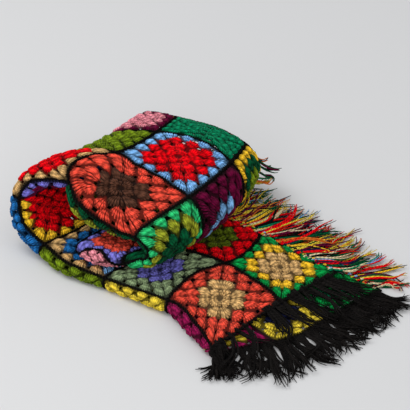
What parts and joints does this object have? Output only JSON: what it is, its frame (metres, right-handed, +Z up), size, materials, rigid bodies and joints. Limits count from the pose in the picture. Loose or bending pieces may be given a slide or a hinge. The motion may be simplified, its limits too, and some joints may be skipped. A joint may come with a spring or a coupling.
{
  "type": "crochet blanket",
  "caption": "Crochet blanket of joined granny squares with fringed edges, folded lengthwise and rolled back over itself at one end.",
  "frame": {"origin": "middle of the footprint, on the surface that the blanket rests on", "axes": "+X along the folded strip towards the black fringed end, +Y from the fold to the fringed long edges, +Z up"},
  "size_m": [0.6546, 0.5212, 0.1502],
  "materials": {
    "yarn": "matte worsted yarn in many colours, joined in black",
    "black_yarn": "matte black wool yarn",
    "mixed_yarn": "matte yarn ends in many colours"
  },
  "bodies": {
    "root": {"blanket": "yarn", "end_fringe_top": "black_yarn", "end_fringe_lower": "black_yarn", "side_fringe_top": "mixed_yarn", "side_fringe_lower": "mixed_yarn", "roll_fringe_outer": "mixed_yarn", "roll_fringe_inner": "mixed_yarn"}
  },
  "joints": []
}
